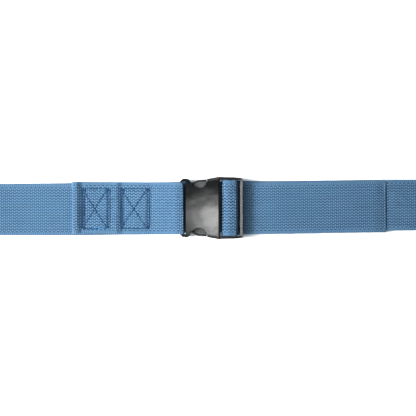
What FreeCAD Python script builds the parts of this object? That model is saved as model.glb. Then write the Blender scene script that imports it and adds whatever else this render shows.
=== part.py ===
import FreeCAD, Part
import math
import os
import Sketcher

# A luggage strap, buckled and laid flat as one long closed loop. X runs along the strap, Y across it,
# +Z is up, and Z = 0 is the surface under the strap. X = 0 is the middle of the buckle and Y = 0 is
# the strap's centre line. The webbing is one cut length; it is made as two solids, because its two
# halves follow the two halves of the buckle, and they part under the receptacle.
#
# Buckle pieces are drawn about the buckle's own middle plane and lifted to it by their Placement.

DIMENSIONS = [
    ("webbing_width", 50.0, "width of the woven strap"),
    ("webbing_thickness", 1.5, "thickness of the woven strap"),
    ("layer_gap", 0.3, "air between two layers of webbing, and between webbing and plastic"),
    ("strap_reach", 371.3, "X of the outermost middle line at the turn at each end of the loop"),
    ("curl_radius", 9.0, "middle-line radius of the turn at each end of the loop"),
    ("curl_slope", 17.5, "angle in degrees at which a turn comes down to the strap below it"),
    ("hem_reach", 136.4, "distance from the buckle's middle to the folded edge of the sewn flap"),
    ("fold_under_reach", 92.8, "distance from the buckle's middle to the raw end under the flap"),
    ("step_top", 92.2, "where the flap starts to step down off the folded-under end"),
    ("step_foot", 88.2, "where that step ends"),
    ("flap_rise_start", 58.0, "where flap and strap start to part towards the receptacle's bar"),
    ("tail_reach", 171.0, "distance from the buckle's middle to the cut end of the loose tail"),
    ("hem_step_round", 2.0, "middle-line radius where the flap steps down"),
    ("parting_round", 12.0, "middle-line radius where flap and strap part"),
    ("bar_approach", 3.5, "how far before the receptacle's bar the webbing levels out"),
    ("bar_approach_round", 8.0, "middle-line radius of that bend"),
    ("wrap_round", 1.4, "middle-line radius where the webbing turns round a bar"),
    ("curl_foot_round", 60.0, "middle-line radius where the strap starts to rise into a turn"),
    ("hump_rise", 3.25, "how far the tail climbs beside the end bar before it leans over"),
    ("hump_lean_round", 2.0, "middle-line radius of that bend"),
    ("hump_foot_round", 1.2, "middle-line radius under the end bar's edge"),
    ("hump_crest_round", 3.0, "middle-line radius where the tail reaches the middle bar"),
    ("hump_overhang", 0.4, "how far past the middle bar it does so"),
    ("tail_slack", 1.4, "air beside the end bar, more than the layer gap"),
    ("underside_break", 10.0, "distance from the buckle's middle to the break between the two halves"),
    ("break_width", 1.0, "width of that break"),
    ("buckle_level", 8.0, "height of the buckle's middle plane"),
    ("body_half_height", 6.2, "receptacle, half of its height on the centre line"),
    ("body_edge_height", 5.3, "receptacle, half of its height at its sides"),
    ("crown_reach", 30.5, "half-width over which the crown falls from one to the other"),
    ("crown_length_radius", 260.0, "receptacle, radius of the crown along the strap"),
    ("crown_peak", 9.0, "receptacle, where the crown is highest"),
    ("bar_outer", 31.0, "receptacle, outer face of the webbing bar and its ears"),
    ("bar_inner", 28.2, "receptacle, inner face of the webbing bar"),
    ("bar_half_height", 2.3, "receptacle, half of the bar's height"),
    ("plate_start", 25.0, "receptacle, where the cover plates begin"),
    ("slot_half_width", 25.6, "receptacle, half of the webbing slot's width"),
    ("ear_half_width", 28.7, "receptacle, half-width over the ears"),
    ("ear_inner", 20.4, "receptacle, inner edge of the ears"),
    ("ear_radius", 4.9, "receptacle, rounding of the ears"),
    ("valley_reach", 20.0, "receptacle, valley between ear and finger notch"),
    ("valley_half_width", 23.4, "receptacle, half-width at that valley"),
    ("shoulder_reach", 6.0, "receptacle, where the closed mouth starts, inside the finger notch"),
    ("shoulder_half_width", 28.0, "receptacle, half-width there"),
    ("shoulder_bevel", 2.6, "receptacle, bevel along the mouth's sides"),
    ("mouth_reach", 6.7, "receptacle, face of the mouth, on the plug's side of the middle"),
    ("mouth_half_width", 30.45, "receptacle, half-width at the mouth"),
    ("notch_reach", 12.2, "finger notch, centre along the strap"),
    ("notch_offset", 26.9, "finger notch, centre off the centre line"),
    ("notch_radius", 7.9, "finger notch, radius"),
    ("cavity_half_width", 26.3, "socket, half-width"),
    ("cavity_half_height", 3.8, "socket, half-height"),
    ("cavity_depth", 26.5, "socket, depth from the mouth"),
    ("guide_half_width", 4.7, "socket, half-width of the middle channel"),
    ("guide_rib", 1.6, "socket, thickness of the ribs beside the channel"),
    ("edge_round", 1.0, "rounding of the receptacle's other long edges"),
    ("frame_face", 6.85, "plug, face that meets the mouth"),
    ("frame_end", 30.9, "plug, far face of the end bar"),
    ("frame_front_half_width", 30.4, "plug, half-width at the face"),
    ("frame_middle_reach", 21.0, "plug, where the rails start to draw in"),
    ("frame_middle_half_width", 29.9, "plug, half-width there"),
    ("frame_end_half_width", 29.0, "plug, half-width at the end bar"),
    ("frame_corner", 3.0, "plug, rounding of the end corners"),
    ("frame_round", 1.2, "plug, rounding of the frame's outer edges"),
    ("bar_round", 0.8, "plug, rounding of its two webbing bars"),
    ("frame_rise", 4.3, "plug, top of the rails above the middle plane"),
    ("frame_drop", 5.9, "plug, underside of the rails below the middle plane"),
    ("frame_slot_half_width", 27.4, "plug, half-width of both webbing slots"),
    ("front_slot_start", 8.4, "plug, slot beside the face"),
    ("middle_bar_start", 11.6, "plug, middle bar"),
    ("middle_bar_end", 20.4, "plug, middle bar"),
    ("end_bar_start", 27.6, "plug, end bar"),
    ("middle_bar_top", 1.6, "plug, top of the middle bar above the middle plane"),
    ("middle_bar_bottom", 3.0, "plug, underside of the middle bar below the middle plane"),
    ("end_bar_top", 3.0, "plug, top of the end bar above the middle plane"),
    ("end_bar_bottom", 2.5, "plug, underside of the end bar below the middle plane"),
    ("tongue_reach", 17.6, "guide tongue, how far it reaches past the buckle's middle"),
    ("tongue_half_width", 4.2, "guide tongue, half-width"),
    ("tongue_half_height", 2.6, "guide tongue, half-height"),
    ("tongue_root", 0.8, "guide tongue, how far its root reaches into the frame"),
    ("tongue_round", 1.5, "guide tongue, rounding of its tip"),
    ("prong_root", 6.45, "prong, X of its root, where it bends"),
    ("prong_half_height", 3.5, "prong, half-height"),
    ("arm_outer", 25.9, "prong arm, outer face"),
    ("arm_inner", 22.9, "prong arm, inner face"),
    ("pad_heel", 4.6, "prong pad, shoulder that locks behind the mouth"),
    ("pad_outer", 27.9, "prong pad, outer corner of the shoulder"),
    ("pad_inner", 17.6, "prong pad, inner face"),
    ("pad_tip", 19.2, "prong pad, tip"),
    ("pad_tip_outer", 24.8, "prong pad, outer face at the tip"),
    ("pad_step", 1.0, "prong pad, how far behind the shoulder its full width starts"),
    ("arm_blend", 3.0, "prong arm, how far before the shoulder it starts to widen inwards"),
    ("pad_bulge_reach", 12.6, "prong pad, highest point of its outer arc"),
    ("pad_bulge", 27.6, "prong pad, outer face at that point"),
    ("pad_corner", 1.6, "prong pad, rounding of its outline"),
    ("pad_round", 2.4, "prong pad, rounding of its outer edges"),
    ("hem_seam_outer", 125.0, "sewn box by the hem, far side"),
    ("hem_seam_inner", 101.2, "sewn box by the hem, near side"),
    ("inner_seam_outer", 87.4, "sewn box by the buckle, far side"),
    ("inner_seam_inner", 62.4, "sewn box by the buckle, near side"),
    ("seam_half_width", 19.4, "half-width of both sewn boxes"),
    ("thread_width", 0.9, "width of a line of stitches"),
    ("thread_height", 0.4, "height of a line of stitches on the webbing"),
]

TINY = 1e-6            # millimetres; two points nearer than this are one
NEAR = 0.1             # millimetres; an edge this near a face is on it
BEYOND = 2             # millimetres by which a cut reaches past the piece
LEAST_CUT = 0.01       # cubic millimetres
GROOVE_SWEEP = 30      # degrees, enough to pass both ends of the receptacle
UPRIGHT = 0.99         # share of its direction that an upright edge has along Z
LEVEL = 0.3            # and the most that a level edge has

document = FreeCAD.newDocument("luggage_strap")
sizes = document.addObject("Spreadsheet::Sheet", "sizes")
for row, (alias, size, meaning) in enumerate(DIMENSIONS, start=1):
    sizes.set(f"A{row}", meaning)
    sizes.set(f"B{row}", str(size))
    sizes.setAlias(f"B{row}", alias)
document.recompute()


def size_of(alias):
    """Value of one cell of the sheet."""
    return float(sizes.get(alias))


# ---------------------------------------------------------------- helpers for bodies and sketches

def new_body(name):
    """An empty body for one sub-part, named as its file."""
    body = document.addObject("PartDesign::Body", name)
    body.Label = name
    return body


def sketch_on(body, role, name, offset="0"):
    """A sketch on one of the body's own planes, moved along the plane's normal by offset."""
    plane = next(item for item in body.Origin.OriginFeatures if item.Role == role)
    sketch = body.newObject("Sketcher::SketchObject", name)
    sketch.AttachmentSupport = [(plane, "")]
    sketch.MapMode = "FlatFace"
    sketch.setExpression("AttachmentOffset.Base.z", offset)
    return sketch


def bind_size(sketch, kind, geometry, point, name, expression):
    """Fix one coordinate or radius of a sketch to an expression of the sheet."""
    value = float(sketch.evalExpression(expression))
    if kind == "Radius":
        index = sketch.addConstraint(Sketcher.Constraint(kind, geometry, value))
    else:
        index = sketch.addConstraint(Sketcher.Constraint(kind, -1, 1, geometry, point, value))
    sketch.renameConstraint(index, name)
    sketch.setExpression(f"Constraints.{name}", expression)


def add_outline(sketch, corners):
    """Closed polygon through corners, each a pair of expressions that fixes it."""
    points = []
    for across, along in corners:
        across_value = float(sketch.evalExpression(across))
        along_value = float(sketch.evalExpression(along))
        points.append(FreeCAD.Vector(across_value, along_value, 0))
    following = points[1:] + points[:1]
    sides = [Part.LineSegment(first, second) for first, second in zip(points, following)]
    lines = sketch.addGeometry(sides, False)
    for number, line in enumerate(lines):
        next_line = lines[(number + 1) % len(lines)]
        sketch.addConstraint(Sketcher.Constraint("Coincident", line, 2, next_line, 1))
    for line, (across, along) in zip(lines, corners):
        bind_size(sketch, "DistanceX", line, 1, f"across_{line}", across)
        bind_size(sketch, "DistanceY", line, 1, f"along_{line}", along)


def arc_through(start, middle, end):
    """Arc through three points, always made counterclockwise as sketches keep them."""
    if (middle - start).cross(end - middle).z > 0:
        return Part.Arc(start, middle, end)
    return Part.Arc(end, middle, start)


def add_box(sketch, low_across, high_across, low_along, high_along):
    """Rectangle between four expressions."""
    add_outline(sketch, [(low_across, low_along), (high_across, low_along),
                         (high_across, high_along), (low_across, high_along)])


def add_circle(sketch, across, along, radius):
    """Circle fixed by three expressions."""
    centre = FreeCAD.Vector(float(sketch.evalExpression(across)), float(sketch.evalExpression(along)), 0)
    size = float(sketch.evalExpression(radius))
    circle = sketch.addGeometry(Part.Circle(centre, FreeCAD.Vector(0, 0, 1), size), False)
    bind_size(sketch, "DistanceX", circle, 3, f"across_{circle}", across)
    bind_size(sketch, "DistanceY", circle, 3, f"along_{circle}", along)
    bind_size(sketch, "Radius", circle, 0, f"radius_{circle}", radius)


def pad(body, sketch, name, length, side="Symmetric", second_length=None):
    """Pad a sketch by an expression of the sheet."""
    feature = body.newObject("PartDesign::Pad", name)
    feature.Profile = sketch
    feature.SideType = side
    feature.setExpression("Length", length)
    if second_length:
        feature.setExpression("Length2", second_length)
    document.recompute()
    return feature


def pocket(body, sketch, name, length=None, side="One side"):
    """Cut a sketch: by an expression to one side or both, or, without one, both ways through all."""
    before = body.Tip.Shape.Volume
    feature = body.newObject("PartDesign::Pocket", name)
    feature.Profile = sketch
    if length:
        feature.SideType = side
        feature.setExpression("Length", length)
    else:
        feature.Type = "ThroughAll"
        feature.SideType = "Symmetric"
    document.recompute()
    check_cut(feature, before)
    return feature


def groove(body, sketch, name):
    """Cut a sketch by turning it about the sketch's first construction line."""
    before = body.Tip.Shape.Volume
    feature = body.newObject("PartDesign::Groove", name)
    feature.Profile = sketch
    feature.ReferenceAxis = (sketch, ["Axis0"])
    feature.Angle = GROOVE_SWEEP
    feature.Midplane = True
    document.recompute()
    check_cut(feature, before)
    return feature


def check_cut(feature, before):
    """Stop if a feature that should take material away didn't."""
    if feature.Shape.Volume > before - LEAST_CUT:
        raise RuntimeError(f"{feature.Label} cut nothing")


def edge_names(feature, wanted):
    """Names of a feature's edges whose middle point and direction pass a test."""
    names = []
    for number, edge in enumerate(feature.Shape.Edges, start=1):
        middle = edge.valueAt((edge.FirstParameter + edge.LastParameter) / 2)
        direction = edge.tangentAt((edge.FirstParameter + edge.LastParameter) / 2)
        if wanted(middle, direction):
            names.append(f"Edge{number}")
    return names


def fillet(body, name, wanted, radius):
    """Round the edges of the body's tip that pass a test."""
    base = body.Tip
    feature = body.newObject("PartDesign::Fillet", name)
    feature.Base = (base, edge_names(base, wanted))
    feature.setExpression("Radius", radius)
    document.recompute()
    return feature


def chamfer(body, name, wanted, size):
    """Bevel the edges of the body's tip that pass a test."""
    base = body.Tip
    feature = body.newObject("PartDesign::Chamfer", name)
    feature.Base = (base, edge_names(base, wanted))
    feature.setExpression("Size", size)
    document.recompute()
    return feature


# ---------------------------------------------------------------- webbing

def rounded_route(corners):
    """Straight runs joined by tangent arcs, from corners (x, z, radius); the ends have no radius."""
    points = [FreeCAD.Vector(x, z, 0) for x, z, radius in corners]
    pieces = []
    start = points[0]
    for number in range(1, len(points) - 1):
        corner = points[number]
        inward = (points[number - 1] - corner).normalize()
        outward = (points[number + 1] - corner).normalize()
        half_angle = inward.getAngle(outward) / 2
        radius = corners[number][2]
        setback = radius / math.tan(half_angle)
        centre = corner + (inward + outward).normalize() * (radius / math.sin(half_angle))
        arc_start = corner + inward * setback
        arc_end = corner + outward * setback
        if start.distanceToPoint(arc_start) > TINY:
            pieces.append((start, arc_start, None))
        pieces.append((arc_start, arc_end, centre))
        start = arc_end
    pieces.append((start, points[-1], None))
    return pieces


def route_length(pieces):
    """Length of a rounded route."""
    length = 0.0
    for start, end, centre in pieces:
        if centre is None:
            length += start.distanceToPoint(end)
        else:
            length += start.distanceToPoint(centre) * (start - centre).getAngle(end - centre)
    return length


def offset_side(pieces, distance):
    """The route moved sideways by distance, positive to the left of travel, as (start, end, middle)."""
    moved = []
    left = FreeCAD.Vector(0, 0, 1)
    for start, end, centre in pieces:
        if centre is None:
            normal = left.cross((end - start).normalize())
            moved.append((start + normal * distance, end + normal * distance, None))
            continue
        radius = start.distanceToPoint(centre)
        turns_left = (start - centre).cross(end - centre).z > 0
        grown = (radius - distance if turns_left else radius + distance) / radius
        middle_direction = ((start + end) * 0.5 - centre).normalize()
        moved.append((centre + (start - centre) * grown, centre + (end - centre) * grown,
                      centre + middle_direction * radius * grown))
    return moved


def add_strip_profile(sketch, pieces, thickness):
    """Outline of a strip of even thickness that follows a route."""
    edges = []
    sides = []
    for distance in (thickness / 2, -thickness / 2):
        side = offset_side(pieces, distance)
        sides.append(side)
        for start, end, middle in side:
            if middle is None:
                edges.append(Part.LineSegment(start, end))
            else:
                edges.append(arc_through(start, middle, end))
    edges.append(Part.LineSegment(sides[0][0][0], sides[1][0][0]))
    edges.append(Part.LineSegment(sides[0][-1][1], sides[1][-1][1]))
    sketch.addGeometry(edges, False)


def build_webbing(name, corners):
    """One half of the webbing: its side profile, padded to the webbing's width."""
    body = new_body(name)
    sketch = sketch_on(body, "XZ_Plane", name + "_profile")
    pieces = rounded_route(corners)
    add_strip_profile(sketch, pieces, size_of("webbing_thickness"))
    pad(body, sketch, name + "_width", "sizes.webbing_width")
    return body, route_length(pieces)


thickness = size_of("webbing_thickness")
gap = size_of("layer_gap")
layer = thickness + gap
under_level = thickness / 2
strap_level = under_level + layer
flap_level = strap_level + layer
hem_level = flap_level + layer
level = size_of("buckle_level")
strap_reach = size_of("strap_reach")
curl_radius = size_of("curl_radius")
curl_slope = math.radians(size_of("curl_slope"))
curl_top = under_level + curl_radius + curl_radius / math.tan((math.pi / 2 - curl_slope) / 2)
curl_foot = strap_reach - (curl_top - strap_level) / math.tan(curl_slope)
hem_reach = size_of("hem_reach")
fold_radius = layer / 2
break_edge = size_of("underside_break")

# Receptacle's half: from the raw end under the flap, round the hem, over the flap, round the
# receptacle's bar, back along the strap, round the left turn and along the underside.
over_bar = level + size_of("bar_half_height") + gap + thickness / 2
below_bar = level - size_of("bar_half_height") - gap - thickness / 2
beside_bar = -size_of("bar_inner") + gap + thickness / 2
rise_start = -size_of("flap_rise_start")
approach = -size_of("bar_outer") - size_of("bar_approach")
step_round = size_of("hem_step_round")
parting_round = size_of("parting_round")
approach_round = size_of("bar_approach_round")
wrap_round = size_of("wrap_round")
foot_round = size_of("curl_foot_round")
receptacle_route = [
    (-size_of("fold_under_reach"), flap_level, 0),
    (-hem_reach, flap_level, fold_radius),
    (-hem_reach, hem_level, fold_radius),
    (-size_of("step_top"), hem_level, step_round),
    (-size_of("step_foot"), flap_level, step_round),
    (rise_start, flap_level, parting_round),
    (approach, over_bar, approach_round),
    (beside_bar, over_bar, wrap_round),
    (beside_bar, below_bar, wrap_round),
    (approach, below_bar, approach_round),
    (rise_start, strap_level, parting_round),
    (-curl_foot, strap_level, foot_round),
    (-strap_reach, curl_top, curl_radius),
    (-strap_reach, under_level, curl_radius),
    (-break_edge, under_level, 0),
]

# Plug's half: from the cut end of the tail, under the end bar, up beside it and over the middle bar,
# down the slot by the face, back along the strap, round the right turn and along the underside.
over_middle_bar = level + size_of("middle_bar_top") + gap + thickness / 2
beside_middle_bar = size_of("middle_bar_start") - gap - thickness / 2
beside_end_bar = size_of("end_bar_start") - gap - thickness / 2 - size_of("tail_slack")
plug_route = [
    (size_of("tail_reach"), flap_level, 0),
    (beside_end_bar, flap_level, size_of("hump_foot_round")),
    (beside_end_bar, flap_level + size_of("hump_rise"), size_of("hump_lean_round")),
    (size_of("middle_bar_end") + size_of("hump_overhang"), over_middle_bar, size_of("hump_crest_round")),
    (beside_middle_bar, over_middle_bar, wrap_round),
    (beside_middle_bar, strap_level, wrap_round),
    (curl_foot, strap_level, foot_round),
    (strap_reach, curl_top, curl_radius),
    (strap_reach, under_level, curl_radius),
    (-break_edge + size_of("break_width"), under_level, 0),
]

webbing_receptacle_side, receptacle_length = build_webbing("webbing_receptacle_side", receptacle_route)
webbing_plug_side, plug_length = build_webbing("webbing_plug_side", plug_route)
print(f"webbing middle line {receptacle_length:.1f} + {plug_length:.1f} mm")


# ---------------------------------------------------------------- stitching

def build_seam(name, outer, inner, layers):
    """A sewn box with a cross in it: needle thread on top of so many layers, bobbin thread under them."""
    body = new_body(name)
    top = f"sizes.webbing_thickness * {layers} + sizes.layer_gap * {layers - 1}"
    levels = [("needle", top, "sizes.thread_height"),
              ("bobbin", "sizes.webbing_thickness + sizes.layer_gap / 3", "sizes.layer_gap * 2 / 3")]
    low, high = "-sizes.seam_half_width", "sizes.seam_half_width"
    width = "sizes.thread_width"
    for label, height, thread in levels:
        frame = sketch_on(body, "XY_Plane", f"{name}_{label}_frame", height)
        add_box(frame, f"-{outer}", f"-{inner}", low, high)
        add_box(frame, f"-{outer} + {width}", f"-{inner} - {width}", f"{low} + {width}", f"{high} - {width}")
        pad(body, frame, f"{name}_{label}_box", thread, "One side")
        for number, sign in enumerate(("", "-")):
            cross = sketch_on(body, "XY_Plane", f"{name}_{label}_cross_{number}", height)
            start = f"{sign}(sizes.seam_half_width - {width} / 2)"
            end = f"-{start}" if not sign else "(sizes.seam_half_width - sizes.thread_width / 2)"
            add_outline(cross, [(f"-{outer}", start), (f"-{outer} + {width}", start),
                                (f"-{inner}", end), (f"-{inner} - {width}", end)])
            pad(body, cross, f"{name}_{label}_diagonal_{number}", thread, "One side")
    return body


hem_stitching = build_seam("hem_stitching", "sizes.hem_seam_outer", "sizes.hem_seam_inner", 4)
inner_stitching = build_seam("inner_stitching", "sizes.inner_seam_outer", "sizes.inner_seam_inner", 3)


# ---------------------------------------------------------------- receptacle

def mirrored_outline(half):
    """Whole outline from the corners of its upper half, given from left to right."""
    lower = [(across, f"-({along})") for across, along in reversed(half)]
    return half + lower


def add_crown_cut(sketch, sign):
    """Everything outside the receptacle's crowned top, or, with sign -, its underside.

    The first line is the axis about which it turns, far on the other side of the middle plane."""
    reach = "2 * sizes.crown_reach"
    drop = "4 * (sizes.body_half_height - sizes.body_edge_height)"
    edge_level = f"{sign}(sizes.body_half_height - {drop})"
    far_level = f"{sign}(sizes.body_half_height + {3 * BEYOND})"
    axis_level = f"{sign}(sizes.body_half_height - sizes.crown_length_radius)"
    radius = "(4 * sizes.crown_reach ^ 2 + ({0}) ^ 2) / (2 * ({0}))".format(drop)
    side = float(sketch.evalExpression(reach))
    low = float(sketch.evalExpression(edge_level))
    far = float(sketch.evalExpression(far_level))
    middle = float(sketch.evalExpression(f"{sign}sizes.body_half_height"))
    turn = float(sketch.evalExpression(axis_level))
    axis_line = Part.LineSegment(FreeCAD.Vector(-side, turn, 0), FreeCAD.Vector(side, turn, 0))
    axis = sketch.addGeometry(axis_line, True)
    left_low = FreeCAD.Vector(-side, low, 0)
    right_low = FreeCAD.Vector(side, low, 0)
    left_far = FreeCAD.Vector(-side, far, 0)
    right_far = FreeCAD.Vector(side, far, 0)
    arc, right, top, left = sketch.addGeometry([
        arc_through(left_low, FreeCAD.Vector(0, middle, 0), right_low),
        Part.LineSegment(right_low, right_far),
        Part.LineSegment(right_far, left_far),
        Part.LineSegment(left_far, left_low),
    ], False)
    right_end, left_end = (2, 1) if sketch.Geometry[arc].EndPoint.x > 0 else (1, 2)
    sketch.addConstraint(Sketcher.Constraint("Coincident", arc, right_end, right, 1))
    sketch.addConstraint(Sketcher.Constraint("Coincident", right, 2, top, 1))
    sketch.addConstraint(Sketcher.Constraint("Coincident", top, 2, left, 1))
    sketch.addConstraint(Sketcher.Constraint("Coincident", left, 2, arc, left_end))
    bind_size(sketch, "DistanceX", axis, 1, "axis_left", f"-{reach}")
    bind_size(sketch, "DistanceY", axis, 1, "axis_left_level", axis_level)
    bind_size(sketch, "DistanceX", axis, 2, "axis_right", reach)
    bind_size(sketch, "DistanceY", axis, 2, "axis_right_level", axis_level)
    bind_size(sketch, "DistanceX", right, 1, "right_reach", reach)
    bind_size(sketch, "DistanceY", right, 1, "right_level", edge_level)
    bind_size(sketch, "DistanceX", top, 1, "top_reach", reach)
    bind_size(sketch, "DistanceY", top, 1, "top_level", far_level)
    bind_size(sketch, "DistanceX", left, 1, "left_reach", f"-{reach}")
    bind_size(sketch, "DistanceY", left, 1, "left_level", far_level)
    bind_size(sketch, "DistanceX", left, 2, "low_reach", f"-{reach}")
    bind_size(sketch, "DistanceY", left, 2, "low_level", edge_level)
    bind_size(sketch, "Radius", arc, 0, "crown_radius", radius)


def build_receptacle():
    """Female half: crowned shell with a webbing bar, two ears, finger notches and a socket."""
    body = new_body("receptacle_body")
    body.setExpression("Placement.Base.z", "sizes.buckle_level")

    plan = sketch_on(body, "XY_Plane", "receptacle_plan")
    add_outline(plan, mirrored_outline([
        ("-sizes.bar_outer", "sizes.ear_half_width"),
        ("-sizes.ear_inner", "sizes.ear_half_width"),
        ("-sizes.valley_reach", "sizes.valley_half_width"),
        ("-sizes.shoulder_reach", "sizes.shoulder_half_width"),
        ("sizes.mouth_reach", "sizes.mouth_half_width"),
    ]))
    pad(body, plan, "receptacle_block", "2 * sizes.body_half_height")

    for label, sign in (("top", ""), ("underside", "-")):
        crown = sketch_on(body, "YZ_Plane", f"receptacle_crown_{label}", "-sizes.crown_peak")
        add_crown_cut(crown, sign)
        groove(body, crown, f"receptacle_{label}")

    ear_end = size_of("ear_inner") - NEAR
    ear_side = size_of("ear_half_width") - NEAR

    def is_ear_corner(middle, direction):
        return abs(direction.z) > UPRIGHT and middle.x < -ear_end and abs(middle.y) > ear_side

    fillet(body, "receptacle_ears", is_ear_corner, "sizes.ear_radius")

    rim_level = size_of("cavity_half_height") + NEAR
    mouth = size_of("mouth_reach") - NEAR
    shoulder = -size_of("shoulder_reach")

    def is_shoulder_edge(middle, direction):
        return abs(direction.z) < LEVEL and abs(middle.z) > rim_level and shoulder < middle.x < mouth

    chamfer(body, "receptacle_shoulders", is_shoulder_edge, "sizes.shoulder_bevel")

    def is_rear_edge(middle, direction):
        return abs(direction.z) < LEVEL and abs(middle.z) > rim_level and middle.x < shoulder

    fillet(body, "receptacle_rounding", is_rear_edge, "sizes.edge_round")

    notches = sketch_on(body, "XY_Plane", "finger_notches")
    add_circle(notches, "-sizes.notch_reach", "sizes.notch_offset", "sizes.notch_radius")
    add_circle(notches, "-sizes.notch_reach", "-sizes.notch_offset", "sizes.notch_radius")
    pocket(body, notches, "receptacle_notches")

    socket = sketch_on(body, "YZ_Plane", "socket_section", "sizes.mouth_reach")
    low, high = "-sizes.cavity_half_height", "sizes.cavity_half_height"
    rib_outer = "(sizes.guide_half_width + sizes.guide_rib)"
    add_box(socket, "-sizes.guide_half_width", "sizes.guide_half_width", low, high)
    add_box(socket, rib_outer, "sizes.cavity_half_width", low, high)
    add_box(socket, "-sizes.cavity_half_width", f"-{rib_outer}", low, high)
    pocket(body, socket, "receptacle_socket", "sizes.cavity_depth")

    relief = sketch_on(body, "XZ_Plane", "bar_relief")
    outside = f"-sizes.bar_outer - {BEYOND}"
    above, below = f"sizes.body_half_height + {BEYOND}", f"-sizes.body_half_height - {BEYOND}"
    add_box(relief, outside, "-sizes.plate_start", "sizes.bar_half_height", above)
    add_box(relief, outside, "-sizes.plate_start", below, "-sizes.bar_half_height")
    pocket(body, relief, "receptacle_bar", "2 * sizes.slot_half_width", "Symmetric")

    slot = sketch_on(body, "XY_Plane", "webbing_slot")
    add_box(slot, "-sizes.bar_inner", "-sizes.plate_start", "-sizes.slot_half_width", "sizes.slot_half_width")
    pocket(body, slot, "receptacle_slot")
    return body


receptacle_body = build_receptacle()


# ---------------------------------------------------------------- plug

def build_plug_frame():
    """Male half without its prongs: ladder-lock frame with three bars, and the guide tongue."""
    body = new_body("plug_frame")
    body.setExpression("Placement.Base.z", "sizes.buckle_level")

    plan = sketch_on(body, "XY_Plane", "frame_plan")
    add_outline(plan, mirrored_outline([
        ("sizes.frame_face", "sizes.frame_front_half_width"),
        ("sizes.frame_middle_reach", "sizes.frame_middle_half_width"),
        ("sizes.frame_end", "sizes.frame_end_half_width"),
    ]))
    pad(body, plan, "frame_block", "sizes.frame_rise", "Two sides", "sizes.frame_drop")

    end_corner = size_of("frame_end") - NEAR

    def is_end_corner(middle, direction):
        return abs(direction.z) > UPRIGHT and middle.x > end_corner

    fillet(body, "frame_corners", is_end_corner, "sizes.frame_corner")

    def is_outer_edge(middle, direction):
        return abs(direction.z) < LEVEL

    fillet(body, "frame_rounding", is_outer_edge, "sizes.frame_round")

    slots = sketch_on(body, "XY_Plane", "frame_slots")
    side = "sizes.frame_slot_half_width"
    add_box(slots, "sizes.front_slot_start", "sizes.middle_bar_start", f"-{side}", side)
    add_box(slots, "sizes.middle_bar_end", "sizes.end_bar_start", f"-{side}", side)
    pocket(body, slots, "frame_openings")

    bars = sketch_on(body, "XZ_Plane", "bar_heights")
    above, below = f"sizes.frame_rise + {BEYOND}", f"-sizes.frame_drop - {BEYOND}"
    middle_span = (f"sizes.middle_bar_start - {NEAR}", f"sizes.middle_bar_end + {NEAR}")
    end_span = (f"sizes.end_bar_start - {NEAR}", f"sizes.frame_end + {BEYOND}")
    add_box(bars, *middle_span, "sizes.middle_bar_top", above)
    add_box(bars, *middle_span, below, "-sizes.middle_bar_bottom")
    add_box(bars, *end_span, "sizes.end_bar_top", above)
    add_box(bars, *end_span, below, "-sizes.end_bar_bottom")
    pocket(body, bars, "frame_bars", f"2 * {side}", "Symmetric")

    first_bar = size_of("middle_bar_start") - NEAR

    def is_bar_edge(middle, direction):
        return abs(direction.y) > UPRIGHT and middle.x > first_bar and abs(middle.y) < NEAR

    fillet(body, "bar_rounding", is_bar_edge, "sizes.bar_round")

    root = "sizes.frame_face + sizes.tongue_root"
    tongue = sketch_on(body, "YZ_Plane", "tongue_section", root)
    add_box(tongue, "-sizes.tongue_half_width", "sizes.tongue_half_width",
            "-sizes.tongue_half_height", "sizes.tongue_half_height")
    feature = pad(body, tongue, "guide_tongue", f"{root} + sizes.tongue_reach", "One side")
    feature.Reversed = True
    document.recompute()

    tip = -size_of("tongue_reach") + NEAR

    def is_tip_edge(middle, direction):
        return middle.x < tip

    fillet(body, "tongue_tip", is_tip_edge, "sizes.tongue_round")
    return body


def build_prong(name, sign):
    """Spring arm with the pad that is squeezed to open the buckle; sign - is the mirror image."""
    body = new_body(name)
    body.setExpression("Placement.Base.z", "sizes.buckle_level")
    plan = sketch_on(body, "XY_Plane", name + "_plan")
    add_outline(plan, [
        ("sizes.prong_root", f"{sign}sizes.arm_inner"),
        ("sizes.prong_root", f"{sign}sizes.arm_outer"),
        ("-sizes.pad_heel", f"{sign}sizes.arm_outer"),
        ("-sizes.pad_heel", f"{sign}sizes.pad_outer"),
        ("-sizes.pad_bulge_reach", f"{sign}sizes.pad_bulge"),
        ("-sizes.pad_tip", f"{sign}sizes.pad_tip_outer"),
        ("-sizes.pad_tip", f"{sign}sizes.pad_inner"),
        ("-sizes.pad_heel - sizes.pad_step", f"{sign}sizes.pad_inner"),
        ("-sizes.pad_heel + sizes.arm_blend", f"{sign}sizes.arm_inner"),
    ])
    pad(body, plan, name + "_arm", "2 * sizes.prong_half_height")

    def is_soft_corner(middle, direction):
        at_bulge = abs(middle.x + size_of("pad_bulge_reach")) < NEAR
        at_tip = abs(middle.x + size_of("pad_tip")) < NEAR
        return abs(direction.z) > UPRIGHT and (at_bulge or at_tip)

    fillet(body, name + "_corners", is_soft_corner, "sizes.pad_corner")

    face = size_of("arm_inner")
    heel = -size_of("pad_heel") - NEAR

    def is_pad_edge(middle, direction):
        return abs(direction.z) < LEVEL and abs(middle.y) > face and middle.x < heel

    fillet(body, name + "_rounding", is_pad_edge, "sizes.pad_round")
    return body


plug_frame = build_plug_frame()
prong_upper = build_prong("prong_upper", "")
prong_lower = build_prong("prong_lower", "-")


# ---------------------------------------------------------------- checks and files

SUB_PARTS = [receptacle_body, plug_frame, prong_upper, prong_lower, webbing_receptacle_side,
             webbing_plug_side, hem_stitching, inner_stitching]

document.recompute()
for item in document.Objects:
    if "Invalid" in item.State or "Error" in item.State:
        raise RuntimeError(f"{item.Label} failed: {item.State}")
for part in SUB_PARTS:
    if part.Shape.isNull() or not part.Shape.isValid() or part.Shape.Volume <= 0:
        raise RuntimeError(f"{part.Label} has no valid solid")

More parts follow.
